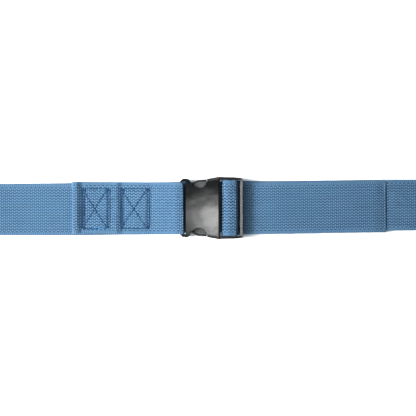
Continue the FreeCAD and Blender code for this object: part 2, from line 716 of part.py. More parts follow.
os.makedirs("parts", exist_ok=True)
for part in SUB_PARTS:
    part.Shape.exportStep(f"parts/{part.Label}.step")
    print(f"{part.Label}: {len(part.Shape.Solids)} solid(s), {part.Shape.Volume / 1000:.2f} cm3")
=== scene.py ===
"""A luggage strap with a side-release buckle, laid flat: woven webbing, sewn boxes, moulded buckle.

Metres, +Z up, the strap runs along X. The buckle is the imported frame's own; the webbing and the
thread are built here round the frame's routes, with their weave as real relief.
"""
import math
import random

import bpy
import numpy as np
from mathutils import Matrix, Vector


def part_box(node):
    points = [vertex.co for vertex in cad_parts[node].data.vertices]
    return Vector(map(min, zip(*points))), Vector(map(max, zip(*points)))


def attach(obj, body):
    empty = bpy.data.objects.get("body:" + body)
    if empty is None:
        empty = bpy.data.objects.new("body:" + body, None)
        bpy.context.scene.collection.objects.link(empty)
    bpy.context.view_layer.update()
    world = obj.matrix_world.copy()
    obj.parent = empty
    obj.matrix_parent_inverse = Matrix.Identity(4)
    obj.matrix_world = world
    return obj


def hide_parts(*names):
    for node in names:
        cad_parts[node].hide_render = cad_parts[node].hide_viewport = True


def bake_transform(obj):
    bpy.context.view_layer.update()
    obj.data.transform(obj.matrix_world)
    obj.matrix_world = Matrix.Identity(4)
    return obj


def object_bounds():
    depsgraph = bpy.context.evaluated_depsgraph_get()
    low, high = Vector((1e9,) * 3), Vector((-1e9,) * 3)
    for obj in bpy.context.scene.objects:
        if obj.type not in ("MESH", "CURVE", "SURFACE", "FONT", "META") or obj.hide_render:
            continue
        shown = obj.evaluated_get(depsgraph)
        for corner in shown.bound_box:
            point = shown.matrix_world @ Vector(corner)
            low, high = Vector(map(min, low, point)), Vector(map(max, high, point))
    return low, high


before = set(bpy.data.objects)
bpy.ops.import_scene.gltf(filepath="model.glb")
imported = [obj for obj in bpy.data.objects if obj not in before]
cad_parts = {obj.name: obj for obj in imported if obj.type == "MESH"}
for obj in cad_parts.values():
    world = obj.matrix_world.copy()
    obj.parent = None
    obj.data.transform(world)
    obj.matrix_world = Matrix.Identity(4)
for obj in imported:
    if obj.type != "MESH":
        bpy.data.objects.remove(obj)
cad_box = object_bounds()

MM = 0.001

# ---------------------------------------------------------------- the webbing's own sizes
WIDTH = 50 * MM
HALF = WIDTH / 2
THICKNESS = 1.5 * MM
ROWS = 16                         # pairs of warp yarns across the width
SELVEDGE = 3.16 * MM              # the smooth band along each edge
RIB = 0.9 * MM                    # spacing of the warp yarns in that band
ROW_PITCH = (WIDTH - 2 * SELVEDGE) / ROWS
ROWS_HALF = HALF - SELVEDGE
WAVE = 4.05 * MM                  # two picks of weft: one full zigzag of a row
WAVE_SWING = 0.62 * MM            # how far a row swings to each side
VALLEY = 0.12 * MM                # the face's height above the middle line, between two rows
CREST = 0.80 * MM                 # and on top of a row
EVEN = 0.72                       # share of that height at which the face lies where it has no relief
FLOAT_SHARE = 0.42                # how much of that height a row loses between its floats
FLOAT_SHADE = 0.48                 # and how much of its brightness, as painted shade where it dips
SELVEDGE_FLOATS = 0.15            # how much of the first a selvedge shows
INNER_FACE = -0.62 * MM           # the hidden face
INNER_INSET = 0.5 * MM            # which is this much narrower at each edge
INNER_COLUMNS = 14
RIM = ((HALF - 0.02 * MM, 0.08 * MM), (HALF - 0.12 * MM, -0.34 * MM))   # the rounded edge between them
FINE = 0.5 * MM                   # spacing of rings where the weave shows
COARSE = 4 * MM                   # and the most where it doesn't
BEND_STEP = math.radians(9)       # most that a coarse stretch turns from ring to ring
SEAL = 0.85 * MM                  # how much thinner the hot knife leaves the cut end
SEAL_REACH = 9 * MM               # over which it thickens again
MELTED = (0.2 * MM, 1.8 * MM, 0.12)   # relief at that end: start and length of its ramp, least share
RELIEF_RAMP = 2.5 * MM            # over which the relief dies away

# ---------------------------------------------------------------- levels and stations, from the frame
left_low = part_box("webbing_receptacle_side")[0]
right_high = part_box("webbing_plug_side")[1]
shell_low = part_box("receptacle_body")[0]
plug_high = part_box("plug_frame")[1]
hem_low, hem_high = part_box("hem_stitching")
inner_low, inner_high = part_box("inner_stitching")

GAP = 0.3 * MM
FLOOR_LEVEL = left_low.z + THICKNESS / 2          # middle line of the back run
STRAP_LEVEL = FLOOR_LEVEL + THICKNESS + GAP       # of the run on top of it
FLAP_LEVEL = STRAP_LEVEL + THICKNESS + GAP        # of the flap and the tail
HEM_LEVEL = FLAP_LEVEL + 1.6 * MM                 # of the folded hem, pressed down by its stitches
CURL_LEFT = left_low.x + THICKNESS / 2
CURL_RIGHT = right_high.x - THICKNESS / 2
CURL_TOP = 22.02 * MM
CURL_START = 62 * MM                              # along X, from the end of the loop
CURL_BEND = 9 * MM                                # radius of the loop's ends
RISE_BEND = 60 * MM                               # and of the slow rise towards them
SPLIT = 0.340                                     # where the back run takes over


def add_object(name, data):
    """An object that shows data, linked into the scene."""
    made = bpy.data.objects.new(name, data)
    bpy.context.scene.collection.objects.link(made)
    return made


# ================================================================ routes
class Route:
    """A line in the XZ plane: straight runs joined by tangent arcs, read by the length along it.

    Each corner is (x, z, radius), the two ends are (x, z), and marks[k] is the length at which the arc of
    corner k + 1 ends."""

    ARC_STEP = math.radians(3)
    NOTHING = 1e-7                                # a run shorter than this is no run

    def __init__(self, *corners):
        places = [np.array(corner[:2]) for corner in corners]
        points, turns = [places[0]], []
        for k in range(1, len(corners) - 1):
            points += self.arc(*places[k - 1:k + 2], corners[k][2])
            turns.append(len(points) - 1)
        points = np.array(points + [places[-1]])
        runs = np.diff(points, axis=0)
        lengths = np.hypot(runs[:, 0], runs[:, 1])
        self.marks = [float(lengths[:k].sum()) for k in turns]
        points = points[np.concatenate([[True], lengths > self.NOTHING])]
        runs = np.diff(points, axis=0)
        lengths = np.hypot(runs[:, 0], runs[:, 1])
        self.points = points
        self.along = np.concatenate([[0], np.cumsum(lengths)])
        self.length = float(self.along[-1])
        self.middles = (self.along[1:] + self.along[:-1]) / 2
        self.headings = np.unwrap(np.arctan2(runs[:, 1], runs[:, 0]))

    def arc(self, before, here, after, radius):
        """Points of the arc that rounds one corner."""
        into, out = here - before, after - here
        into, out = into / np.linalg.norm(into), out / np.linalg.norm(out)
        cross = into[0] * out[1] - into[1] * out[0]
        turn = math.atan2(cross, float(into @ out))
        setback = radius * math.tan(abs(turn) / 2)
        side = math.copysign(1, turn)
        start = here - into * setback
        centre = start + side * radius * np.array([-into[1], into[0]])
        steps = max(2, math.ceil(abs(turn) / self.ARC_STEP))
        found = []
        for k in range(steps + 1):
            a = turn * k / steps
            spoke = start - centre
            turned = np.array([spoke[0] * math.cos(a) - spoke[1] * math.sin(a),
                               spoke[0] * math.sin(a) + spoke[1] * math.cos(a)])
            found.append(centre + turned)
        return found

    def at(self, s):
        """x, z and heading at length s."""
        x = np.interp(s, self.along, self.points[:, 0])
        z = np.interp(s, self.along, self.points[:, 1])
        return x, z, np.interp(s, self.middles, self.headings)

    def stations(self, fine):
        """Lengths at which a strip has its rings: close inside the fine stretches, far apart elsewhere."""
        found, s = [0.0], 0.0
        while s < self.length - 1e-6:
            step = COARSE
            while step > FINE and abs(self.at(s + step)[2] - self.at(s)[2]) > BEND_STEP:
                step /= 1.5
            for start, end in fine:
                if start - step < s < end:
                    step = FINE
            s = min(s + step, self.length)
            found.append(s)
        return np.array(found)


def eased(s, *stops):
    """A value that moves smoothly from stop to stop; each stop is (place, value)."""
    places, values = zip(*stops)
    k = np.clip(np.searchsorted(places, s, side="right") - 1, 0, len(places) - 2)
    places, values = np.array(places), np.array(values)
    t = np.clip((s - places[k]) / (places[k + 1] - places[k]), 0, 1)
    return values[k] + (values[k + 1] - values[k]) * t * t * (3 - 2 * t)


# ================================================================ the woven strip
def outer_columns():
    """Across one face, column by column: its place, how much it swings with the zigzag, its height share,
    and how much of that share the floats modulate."""
    edge = [(0.0, 0.05), (0.10, 0.55), (0.30, 0.72), (0.62, 0.66), (0.86, 0.35)]
    row = [(0.0, 0.0), (0.13, 0.30), (0.28, 0.86), (0.5, 1.0), (0.72, 0.86), (0.87, 0.30)]
    columns = [(-HALF + share * SELVEDGE, 0.0, h, SELVEDGE_FLOATS) for share, h in edge]
    columns += [(-ROWS_HALF + (k + share) * ROW_PITCH, 1.0, h, 1.0)
                for k in range(ROWS) for share, h in row]
    columns += [(ROWS_HALF, 1.0, 0.0, 1.0)]
    columns += [(HALF - share * SELVEDGE, 0.0, h, SELVEDGE_FLOATS) for share, h in reversed(edge)]
    across, swing, height, floats = np.array(columns).T
    # The outermost rows swing less, so that the selvedge's inner edge stays straight.
    inside = np.clip((ROWS_HALF + ROW_PITCH * 0.2 - np.abs(across)) / (ROW_PITCH * 0.6), 0, 1)
    return across, swing * inside, height, floats


def section(s, relief, sealed):
    """The cross-section at each length s, going round it: v across the strip and h off its middle line.
    The third value is how many of its columns are on the woven face."""
    across, swing, height, floats = outer_columns()
    wave = np.sin(2 * math.pi * s / WAVE)[:, None]
    dip = 1 - FLOAT_SHARE * floats * (0.5 + 0.5 * np.cos(4 * math.pi * s / WAVE))[:, None]
    v_outer = across[None, :] + WAVE_SWING * wave * swing * relief[:, None]
    even = np.where(np.abs(across) > ROWS_HALF, height, EVEN)
    shape = relief[:, None] * height * dip + (1 - relief[:, None]) * even
    h_outer = VALLEY + (CREST - VALLEY) * shape
    if sealed:
        h_outer -= SEAL * np.clip(1 - s / SEAL_REACH, 0, 1)[:, None]
    inner = np.linspace(HALF - INNER_INSET, INNER_INSET - HALF, INNER_COLUMNS)
    hidden = [*RIM, *((v, INNER_FACE) for v in inner), *((-v, h) for v, h in reversed(RIM))]
    v_hidden, h_hidden = (np.tile(values, (len(s), 1)) for values in zip(*hidden))
    return np.hstack([v_outer, v_hidden]), np.hstack([h_outer, h_hidden]), len(across)


def mesh_from_grid(name, points, rings, columns, weave, plain):
    """A closed strip: rings joined one to the next, and a cap at each end."""
    index = np.arange(rings * columns).reshape(rings, columns)
    right = np.roll(index, -1, axis=1)
    quads = np.stack([index[:-1], right[:-1], right[1:], index[1:]], axis=-1).reshape(-1, 4)
    a, b, c, d = (points[quads[:, k]] for k in range(4))
    volume = sum(np.einsum("ij,ij->i", a, np.cross(*pair)).sum() for pair in ((b, c), (c, d)))
    first, last = index[0][::-1], index[-1]
    if volume < 0:
        quads, first, last = quads[:, ::-1], first[::-1], last[::-1]
    loops = np.concatenate([quads.ravel(), first, last]).astype(np.int32)
    sizes = np.concatenate([np.full(len(quads), 4), [columns, columns]]).astype(np.int32)
    starts = np.concatenate([[0], np.cumsum(sizes)[:-1]]).astype(np.int32)
    mesh = bpy.data.meshes.new(name)
    mesh.vertices.add(len(points))
    mesh.vertices.foreach_set("co", points.astype(np.float32).ravel())
    mesh.loops.add(len(loops))
    mesh.loops.foreach_set("vertex_index", loops)
    mesh.polygons.add(len(sizes))
    mesh.polygons.foreach_set("loop_start", starts)
    mesh.polygons.foreach_set("loop_total", sizes)
    mesh.polygons.foreach_set("use_smooth", sizes == 4)
    mesh.update(calc_edges=True)
    coordinates = mesh.attributes.new("weave", "FLOAT_VECTOR", "POINT")
    coordinates.data.foreach_set("vector", weave.astype(np.float32).ravel())
    flatness = mesh.attributes.new("plain", "FLOAT", "POINT")
    flatness.data.foreach_set("value", plain.astype(np.float32))
    mesh.validate()
    return mesh


def strip(name, route, face, fine, centre, half=None, skew=None, press=None, lift=None, sealed=False):
    """One length of webbing along route. face is +1 where its woven face is left of the heading and -1
    where it is right, and fine lists the stretches whose relief is modelled. centre, half and skew give,
    by length, its middle across, its half width and how far its edges run ahead; press and lift move it
    down and up; sealed is for a start cut with a hot knife."""
    s = route.stations(fine)
    x, z, heading = route.at(s)
    normal_x, normal_z = -face * np.sin(heading), face * np.cos(heading)
    relief = np.zeros_like(s)
    for start, end in fine:
        relief = np.maximum(relief, np.clip(np.minimum(s - start, end - s) / RELIEF_RAMP, 0, 1))
    if sealed:
        start, ramp, least = MELTED
        relief *= np.clip((s - start) / ramp, least, 1)
    middle = centre(s)
    scale = half(s) / HALF if half else np.ones_like(s)
    lean = skew(s) if skew else np.zeros_like(s)

    v, h, woven = section(s, relief, sealed)
    y = middle[:, None] + v * scale[:, None]
    px = x[:, None] + lean[:, None] * v / HALF + normal_x[:, None] * h
    pz = z[:, None] + normal_z[:, None] * h
    if press:
        pz = pz - press(px, y) * (normal_z[:, None] > 0.5)
    if lift:
        pz = pz + lift(px, v / HALF)
    points = np.stack([px, y, pz], axis=-1).reshape(-1, 3)
    along = np.repeat(s, v.shape[1]).reshape(v.shape)
    weave = np.stack([along, v, h / CREST], axis=-1).reshape(-1, 3)
    plain = np.ones(v.shape)
    plain[:, :woven] = 1 - relief[:, None]
    return add_object(name, mesh_from_grid(name, points, len(s), v.shape[1], weave, plain.ravel()))


# ================================================================ materials
class Graph:
    """A material whose nodes are made one call at a time."""

    def __init__(self, name):
        self.material = bpy.data.materials.new(name)
        self.material.use_nodes = True
        self.tree = self.material.node_tree
        self.tree.nodes.clear()
        self.shader = self.node("ShaderNodeBsdfPrincipled")
        output = self.node("ShaderNodeOutputMaterial")
        self.tree.links.new(self.shader.outputs["BSDF"], output.inputs["Surface"])

    def put(self, socket, value):
        """Links a socket to another one's output, or sets it to a number or a colour."""
        if isinstance(value, bpy.types.NodeSocket):
            self.tree.links.new(value, socket)
        elif hasattr(value, "__len__") and len(value) == 3 and socket.type == "RGBA":
            socket.default_value = (*value, 1)
        else:
            socket.default_value = value

    def node(self, kind, settings=(), **inputs):
        """A node; in the names of its inputs a space is written as an underscore."""
        made = self.tree.nodes.new(kind)
        for key, value in dict(settings).items():
            setattr(made, key, value)
        for key, value in inputs.items():
            self.put(made.inputs[key.replace("_", " ")], value)
        return made

    def math(self, operation, *values, clamp=False):
        made = self.tree.nodes.new("ShaderNodeMath")
        made.operation = operation
        made.use_clamp = clamp
        for socket, value in zip(made.inputs, values):
            self.put(socket, value)
        return made.outputs[0]

    def ramp(self, value, *stops):
        """Value mapped evenly from one stop to the next, and held outside them; a stop is (in, out)."""
        made = self.tree.nodes.new("ShaderNodeMapRange")
        made.clamp = True
        (low, out_low), (high, out_high) = stops
        limits = {"From Min": low, "From Max": high, "To Min": out_low, "To Max": out_high}
        for key, number in limits.items():
            made.inputs[key].default_value = number
        self.put(made.inputs["Value"], value)
        return made.outputs["Result"]

    def mix(self, share, a, b, blend="MIX"):
        made = self.tree.nodes.new("ShaderNodeMix")
        made.data_type = "RGBA"
        made.blend_type = blend
        self.put(made.inputs["Factor"], share)
        self.put(made.inputs[6], a)
        self.put(made.inputs[7], b)
        return made.outputs[2]

    def noise(self, vector, scale, detail=2.0, roughness=0.5):
        made = self.node("ShaderNodeTexNoise", Scale=scale, Detail=detail, Roughness=roughness)
        self.tree.links.new(vector, made.inputs["Vector"])
        return made.outputs["Fac"]

    def bump(self, height, distance, strength=1.0, normal=None):
        made = self.node("ShaderNodeBump", Distance=distance, Strength=strength, Height=height)
        if normal:
            self.tree.links.new(normal, made.inputs["Normal"])
        return made.outputs["Normal"]

    def stretched(self, vector, factors):
        """The vector times factors, axis by axis, for noise with a grain."""
        made = self.node("ShaderNodeVectorMath", {"operation": "MULTIPLY"})
        self.tree.links.new(vector, made.inputs[0])
        made.inputs[1].default_value = factors
        return made.outputs[0]

    def inside(self, place, low, high, soft=0.06 * MM):
        """1 inside a box in object space and 0 outside, with a short ramp at its faces."""
        parts = self.node("ShaderNodeSeparateXYZ", Vector=place)
        share = None
        for axis, start, end in zip("XYZ", low, high):
            value = parts.outputs[axis]
            for edge, sign in ((start, 1), (end, -1)):
                ramp = self.ramp(value, (edge - soft / 2, 0.5 - sign / 2),
                                 (edge + soft / 2, 0.5 + sign / 2))
                share = self.math("MULTIPLY", share, ramp) if share else ramp
        return share

    def finish(self, **inputs):
        for key, value in inputs.items():
            self.put(self.shader.inputs[key.replace("_", " ")], value)
        return self.material


WEBBING_CREST = (0.083, 0.154, 0.240)             # on top of the rows
WEBBING_VALLEY_SHADE = (0.0034, 0.0145, 0.0340)         # between them: painted shade in the valleys
WEBBING_DARK = (0.0130, 0.046, 0.098)             # between the fibres
WEBBING_FADED = (0.0240, 0.088, 0.154)            # in broad patches
WEBBING_PALE = (0.060, 0.118, 0.212)              # in small ones


def webbing_material():
    """Blue polypropylene yarn: rows that zigzag, fibres along them, with painted shade between the rows
    and where they dip.
    """
    g = Graph("woven_blue")
    weave = g.node("ShaderNodeAttribute", {"attribute_name": "weave"}).outputs["Vector"]
    plain = g.node("ShaderNodeAttribute", {"attribute_name": "plain"}).outputs["Fac"]
    parts = g.node("ShaderNodeSeparateXYZ", Vector=weave)
    along, across = parts.outputs["X"], parts.outputs["Y"]

    # The weave's height at each point, on rows and selvedges, in step with the strip's own relief. It
    # drives the bump, and also the colour, as painted shade in its low places.
    turn = g.math("MULTIPLY", along, 2 * math.pi / WAVE)
    zigzag = g.math("MULTIPLY", g.math("SINE", turn), WAVE_SWING)
    yarn = g.math("SUBTRACT", across, zigzag)
    row = g.math("FRACT", g.math("ADD", g.math("DIVIDE", yarn, ROW_PITCH), ROWS / 2))
    crest = g.math("SINE", g.math("MULTIPLY", row, math.pi))
    crest = g.math("POWER", crest, 0.8)
    twice = g.math("COSINE", g.math("MULTIPLY", turn, 2.0))
    # Painted shade: a row's colour darkens between its floats, where it dips.
    floats = g.math("SUBTRACT", 1 - FLOAT_SHADE / 2, g.math("MULTIPLY", twice, FLOAT_SHADE / 2))
    crest = g.math("MULTIPLY", crest, floats)
    edge = g.ramp(g.math("ABSOLUTE", across), (ROWS_HALF - 0.2 * MM, 0.0), (ROWS_HALF + 0.2 * MM, 1.0))
    ribs = g.math("SINE", g.math("MULTIPLY", across, 2 * math.pi / RIB))
    band = g.math("ADD", g.math("ADD", 0.56, g.math("MULTIPLY", twice, 0.12)),
                  g.math("MULTIPLY", ribs, 0.07))
    height = g.math("ADD", g.math("MULTIPLY", crest, g.math("SUBTRACT", 1.0, edge)),
                    g.math("MULTIPLY", band, edge))

    # Fibres along the yarn, and unevenness of the dye.
    thread_space = g.node("ShaderNodeCombineXYZ", X=along, Y=yarn, Z=0.0).outputs["Vector"]
    fibres = g.noise(g.stretched(thread_space, (350, 5200, 1)), 1.0, 3.0, 0.6)
    mottle = g.noise(g.stretched(weave, (55, 90, 1)), 1.0, 2.0)
    patches = g.noise(g.stretched(weave, (260, 400, 1)), 1.0, 3.0)

    # Painted shade: the colour falls from the crest colour to a near-black valley colour as the weave's
    # height drops, between rows, between floats and between the selvedge's ribs.
    colour = g.mix(g.ramp(height, (0.26, 0.0), (0.76, 1.0)), WEBBING_VALLEY_SHADE, WEBBING_CREST)
    colour = g.mix(g.ramp(fibres, (0.35, 0.30), (0.75, 0.0)), colour, WEBBING_DARK)
    colour = g.mix(g.ramp(mottle, (0.38, 0.16), (0.62, 0.0)), colour, WEBBING_FADED)
    colour = g.mix(g.ramp(patches, (0.55, 0.0), (0.72, 0.16)), colour, WEBBING_PALE)
    relief = g.math("ADD", g.math("MULTIPLY", g.math("MULTIPLY", height, plain), 0.9),
                    g.math("MULTIPLY", fibres, 0.10))
    normal = g.bump(relief, 0.4 * MM, 0.8)
    roughness = g.ramp(fibres, (0.3, 0.62), (0.7, 0.46))
    return g.finish(Base_Color=colour, Roughness=roughness, Normal=normal, Sheen_Weight=0.02,
                    Sheen_Roughness=0.45, Specular_IOR_Level=0.18)


def thread_material(name, dull, bright):
    """Bonded polyester thread: two plies twisted together."""
    g = Graph(name)
    place = g.node("ShaderNodeTexCoord").outputs["Object"]
    plies = g.node("ShaderNodeTexWave", {"bands_direction": "DIAGONAL"}, Vector=place, Scale=900.0,
                   Distortion=2.0, Detail=1.0)
    fuzz = g.noise(place, 2500.0, 2.0)
    shade = g.mix(plies.outputs["Fac"], dull, bright)
    shade = g.mix(g.ramp(fuzz, (0.4, 0.25), (0.7, 0.0)), shade, dull)
    normal = g.bump(plies.outputs["Fac"], 0.12 * MM, 0.7)
    return g.finish(Base_Color=shade, Roughness=g.ramp(fuzz, (0.3, 0.55), (0.7, 0.38)), Normal=normal,
                    Specular_IOR_Level=0.15)


THREAD_BLUE = (0.0050, 0.0230, 0.0620), (0.0120, 0.0460, 0.1050)     # each pair: dull, bright
THREAD_PALE = (0.030, 0.120, 0.330), (0.070, 0.210, 0.420)
# The grained colours are the grain's own speckle plus painted sheen; the bar's is paler still, as a
# painted highlight.
PAD_GRAIN_AND_SHEEN = (0.009, 0.010, 0.0095), (0.054, 0.056, 0.053)
BAR_GRAIN_AND_SHEEN = (0.036, 0.038, 0.036), (0.105, 0.108, 0.105)
MOULDED = (0.0014, 0.0022, 0.0024), (0.0026, 0.0031, 0.0031)
DUST = (0.012, 0.012, 0.011)


def grained(g, place, dull, bright):
    """Colour, roughness and normal where the mould is spark-textured for grip: matt, speckled, and paler.
    The paleness is partly painted sheen, standing in for the light that the grain scatters.
    """
    grain = g.node("ShaderNodeTexVoronoi", Scale=1500.0, Randomness=1.0, Vector=place).outputs["Distance"]
    blotch = g.noise(place, 900.0, 3.0, 0.7)
    colour = g.mix(g.ramp(blotch, (0.38, 0.0), (0.60, 1.0)), dull, bright)
    return colour, g.ramp(blotch, (0.35, 0.60), (0.7, 0.42)), g.bump(grain, 0.16 * MM, 0.8)


def buckle_material(name, grip=None, grain=PAD_GRAIN_AND_SHEEN, polish=0.15, shine=0.28):
    """Black acetal, polished in the mould: slightly wavy gloss, faint scuffs, fine ripple. Inside grip,
    a box given by its low and high corners, it is grained. polish is its least roughness."""
    g = Graph(name)
    place = g.node("ShaderNodeTexCoord").outputs["Object"]
    wavy = g.noise(place, 85.0, 1.0)
    fine = g.noise(place, 1400.0, 3.0, 0.6)
    scuffs = g.noise(g.stretched(place, (90, 700, 200)), 1.0, 4.0, 0.7)
    dust = g.ramp(g.noise(place, 420.0, 5.0, 0.75), (0.58, 0.0), (0.78, 1.0))
    colour = g.mix(g.ramp(wavy, (0.35, 0.0), (0.65, 1.0)), *MOULDED)
    colour = g.mix(g.math("MULTIPLY", dust, 0.25), colour, DUST)
    roughness = g.math("ADD", g.ramp(scuffs, (0.45, polish), (0.75, polish + 0.08)),
                       g.math("MULTIPLY", dust, 0.10))
    normal = g.bump(wavy, 0.35 * MM, 0.5)
    normal = g.bump(fine, 0.02 * MM, 0.5, normal)
    if grip:
        inside = g.inside(place, *grip)
        grip_colour_and_sheen, grip_roughness, grip_normal = grained(g, place, *grain)
        # Painted sheen: inside the grip the colour turns to the paler grained colours.
        colour = g.mix(inside, colour, grip_colour_and_sheen)
        roughness = g.math("ADD", g.math("MULTIPLY", roughness, g.math("SUBTRACT", 1.0, inside)),
                           g.math("MULTIPLY", grip_roughness, inside))
        normal = g.mix(inside, normal, grip_normal)
    return g.finish(Base_Color=colour, Roughness=roughness, Normal=normal, Specular_IOR_Level=shine)


def floor_material():
    """White studio paper."""
    g = Graph("white_floor")
    place = g.node("ShaderNodeTexCoord").outputs["Object"]
    haze = g.noise(place, 8.0, 2.0)
    colour = g.mix(g.ramp(haze, (0.3, 0.0), (0.7, 1.0)), (0.94, 0.94, 0.94), (0.96, 0.96, 0.96))
    return g.finish(Base_Color=colour, Roughness=0.8)


# ================================================================ thread
STITCH = 3.0 * MM                 # from one needle hole to the next
STITCH_GAP = 0.04                 # share of that at each end which the thread spends in the hole
THREAD_RADIUS = 0.52 * MM
KNOT = 0.8 * MM                   # spacing of the stitches sewn over each other in a corner
THREAD_SIDES = 8
THREAD_RINGS = 7                  # along one stitch
BURY = 0.34 * MM                  # how far each end of a stitch dives into the webbing
PROUD = 0.10 * MM                 # how far its middle stands above the face
WANDER = 0.12 * MM                # how far a stitch strays from its line
BOBBIN_ARCH = 0.25 * MM           # how far the bobbin thread's ends dive
BOBBIN_SHARE = 0.45               # the bobbin thread's radius, against the needle thread's
FACE_HEIGHT = 0.41 * MM           # of the pressed face above the middle line
BOX_LEFT, BOX_RIGHT = -1.2 * MM, -0.6 * MM        # where a box is sewn, against its CAD strip's ends
BOX_SHIFT = -0.7 * MM                             # and against its middle
SECOND_LEFT, SECOND_RIGHT = 2.0 * MM, 2.5 * MM    # the second pass, against the first


def tube(points, radii):
    """Vertices and faces of a closed tube along points."""
    points = [Vector(p) for p in points]
    vertices, faces = [], []
    for k, (point, radius) in enumerate(zip(points, radii)):
        ahead = points[min(k + 1, len(points) - 1)] - points[max(k - 1, 0)]
        ahead.normalize()
        side = ahead.cross(Vector((0, 0, 1)))
        side.normalize()
        up = side.cross(ahead)
        for n in range(THREAD_SIDES):
            a = 2 * math.pi * n / THREAD_SIDES
            vertices.append(point + radius * (math.cos(a) * side + math.sin(a) * up))
    for k in range(len(points) - 1):
        for n in range(THREAD_SIDES):
            m = (n + 1) % THREAD_SIDES
            row, following = k * THREAD_SIDES, (k + 1) * THREAD_SIDES
            faces.append((row + n, following + n, following + m, row + m))
    faces.append(tuple(range(THREAD_SIDES)))
    faces.append(tuple(reversed(range(len(vertices) - THREAD_SIDES, len(vertices)))))
    return vertices, faces


def thread_object(name, vertices, faces):
    """Tubes as one object, smooth but for their end caps."""
    mesh = bpy.data.meshes.new(name)
    mesh.from_pydata(vertices, [], faces)
    mesh.polygons.foreach_set("use_smooth", [len(face) == 4 for face in faces])
    mesh.update()
    return add_object(name, mesh)


def stitch_lines(low, high):
    """The sewn figure as (start, end) pairs: a box, its diagonals, and a second pass down each side."""
    left, right = low.x + BOX_LEFT, high.x + BOX_RIGHT
    bottom, top = low.y + BOX_SHIFT, high.y + BOX_SHIFT
    second_left, second_right = left + SECOND_LEFT, right + SECOND_RIGHT
    corners = [(left, bottom), (right, bottom), (right, top), (left, top)]
    lines = list(zip(corners, corners[1:] + corners[:1]))
    lines += [((left, bottom), (right, top)), ((left, top), (right, bottom))]
    lines += [((second_left, bottom), (second_left, top)),
              ((second_right, top), (second_right, bottom))]
    for x, y in ((second_left, top), (right, top), (right, bottom)):
        inwards = -math.copysign(KNOT, y)
        for k in range(3):
            start = y + inwards * k
            lines.append(((x - KNOT, start), (x + 2 * KNOT, start + inwards / 2)))
    return lines


def sewn(name, lines, top_height, under_height, chance):
    """Every stitch of a sewn figure, needle side and bobbin side, as one mesh."""
    vertices, faces = [], []
    for (ax, ay), (bx, by) in lines:
        length = math.hypot(bx - ax, by - ay)
        count = max(1, round(length / STITCH))
        for k in range(count):
            wander = [chance.uniform(-1, 1) * WANDER for _ in range(2)]
            points, radii, under = [], [], []
            for n in range(THREAD_RINGS):
                t = n / (THREAD_RINGS - 1)
                share = (k + STITCH_GAP + (1 - 2 * STITCH_GAP) * t) / count
                x = ax + (bx - ax) * share + wander[0] * math.sin(math.pi * t)
                y = ay + (by - ay) * share + wander[1]
                arch = math.sin(math.pi * t) ** 0.6
                points.append((x, y, top_height(x) - BURY + (BURY + PROUD) * arch))
                under.append((x, y, under_height + (1 - arch) * BOBBIN_ARCH))
                radii.append(THREAD_RADIUS * (0.72 + 0.28 * math.sin(math.pi * t)))
            for chain, thickness in ((points, 1.0), (under, BOBBIN_SHARE)):
                tube_vertices, tube_faces = tube(chain, [r * thickness for r in radii])
                start = len(vertices)
                vertices += tube_vertices
                faces += [tuple(start + i for i in face) for face in tube_faces]
    return thread_object(name, vertices, faces)


def near_lines(x, y, lines):
    """Distance in the XY plane from each point to the nearest of the lines."""
    nearest = np.full(x.shape, np.inf)
    for (ax, ay), (bx, by) in lines:
        dx, dy = bx - ax, by - ay
        t = np.clip(((x - ax) * dx + (y - ay) * dy) / (dx * dx + dy * dy), 0, 1)
        nearest = np.minimum(nearest, np.hypot(x - ax - t * dx, y - ay - t * dy))
    return nearest


# ================================================================ the five lengths of webbing
BAR_TURN = shell_low.x + 3.85 * MM                # where the webbing turns down round the receptacle's bar
BAR_TOP = 11.35 * MM                              # level of the webbing over that bar
BAR_FOOT = 4.65 * MM                              # and under it
HEM_EDGE = -136.0 * MM                            # where the raw end is folded under
HEM_ROLL = 8.0 * MM                               # level of the fold's upper layer, before it is sewn

flap_route = Route(
    (-92.8 * MM, FLAP_LEVEL - 0.1 * MM),
    (HEM_EDGE, FLAP_LEVEL - 0.1 * MM, 1.7 * MM),
    (HEM_EDGE, HEM_ROLL, 1.8 * MM),
    (-131.2 * MM, HEM_ROLL, 4 * MM),
    (-127.0 * MM, HEM_LEVEL, 4 * MM),
    (-92.6 * MM, HEM_LEVEL, 2.6 * MM),
    (-87.6 * MM, FLAP_LEVEL - 0.15 * MM, 2.6 * MM),
    (-58.0 * MM, FLAP_LEVEL, 12 * MM),
    (-34.5 * MM, BAR_TOP, 8 * MM),
    (BAR_TURN, BAR_TOP, 1.4 * MM),
    (BAR_TURN, BAR_FOOT, 1.4 * MM),
    (-32.0 * MM, BAR_FOOT),
)
left_route = Route(
    (-32.0 * MM, BAR_FOOT),
    (-34.5 * MM, BAR_FOOT, 8 * MM),
    (-58.0 * MM, STRAP_LEVEL, 12 * MM),
    (CURL_LEFT + CURL_START, STRAP_LEVEL, RISE_BEND),
    (CURL_LEFT, CURL_TOP, CURL_BEND),
    (CURL_LEFT, FLOOR_LEVEL, CURL_BEND),
    (-SPLIT, FLOOR_LEVEL),
)
SLOT_TURN = 10.55 * MM                            # where the webbing turns down round the middle bar
HUMP = 10.65 * MM                                 # its level over that bar
tail_route = Route(
    (171.0 * MM, FLAP_LEVEL),
    (25.0 * MM, FLAP_LEVEL, 1.2 * MM),
    (24.9 * MM, HUMP - 0.05 * MM, 2.2 * MM),
    (16.6 * MM, HUMP + 1.3 * MM, 14.0 * MM),
    (SLOT_TURN, HUMP, 1.4 * MM),
    (SLOT_TURN, STRAP_LEVEL, 1.4 * MM),
    (16.0 * MM, STRAP_LEVEL),
)
